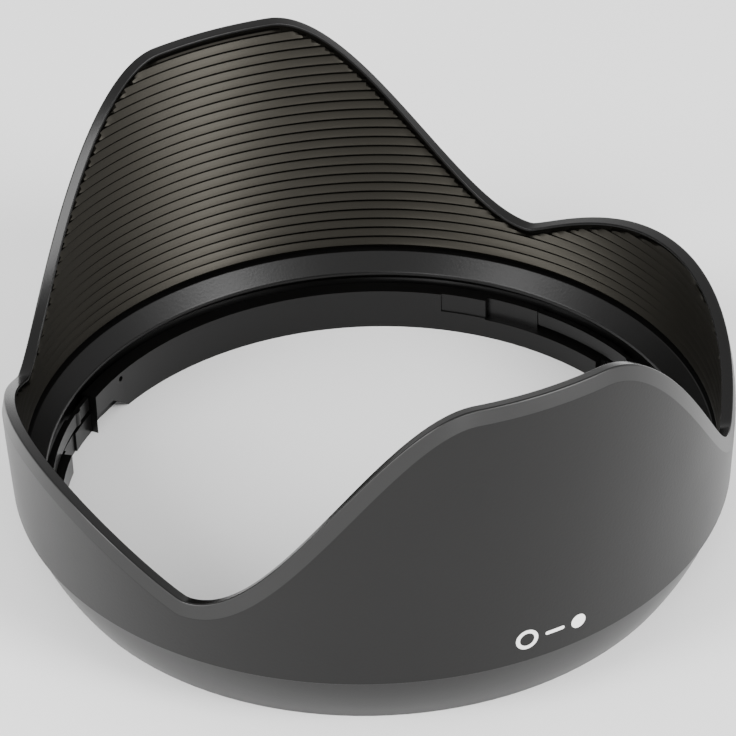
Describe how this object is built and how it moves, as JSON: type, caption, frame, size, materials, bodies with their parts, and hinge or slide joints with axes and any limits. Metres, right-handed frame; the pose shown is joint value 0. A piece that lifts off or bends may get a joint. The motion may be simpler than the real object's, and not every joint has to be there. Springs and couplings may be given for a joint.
{
  "type": "lens hood",
  "caption": "Petal-shaped bayonet lens hood with a ribbed light-trap inside and a tapered rear ring.",
  "frame": {"origin": "on the optical axis, in the plane of the rear ring's flat face, which is the face the hood stands on", "axes": "+Z along the optical axis towards the petals, long petals at +Y and -Y, short petals at +X and -X"},
  "size_m": [0.0934, 0.094, 0.0472],
  "materials": {
    "shell_plastic": "fine-textured matte black moulding",
    "ring_plastic": "satin black moulding",
    "arm_plastic": "satin black moulding",
    "mark_ink": "pad-printed white ink"
  },
  "bodies": {
    "root": {"petal_shell": "shell_plastic", "bayonet_ring": "ring_plastic", "index_mark": "mark_ink"},
    "click_arm_1": {"click_arm_1": "arm_plastic"},
    "click_arm_2": {"click_arm_2": "arm_plastic"},
    "click_arm_3": {"click_arm_3": "arm_plastic"}
  },
  "joints": [
    {"name": "click_arm_1_flex", "type": "hinge", "parent": "root", "child": "click_arm_1", "pos_m": [0.03616, 0.02088, 0.0048], "axis": [0, 0, 1], "range_deg": [0, 0.9], "stiffness_Nm_per_rad": 0.5},
    {"name": "click_arm_2_flex", "type": "hinge", "parent": "root", "child": "click_arm_2", "pos_m": [-0.03857, 0.01598, 0.0048], "axis": [0, 0, 1], "range_deg": [0, 0.9], "stiffness_Nm_per_rad": 0.5},
    {"name": "click_arm_3_flex", "type": "hinge", "parent": "root", "child": "click_arm_3", "pos_m": [0.00291, -0.04165, 0.0048], "axis": [0, 0, 1], "range_deg": [0, 0.9], "stiffness_Nm_per_rad": 0.5}
  ]
}
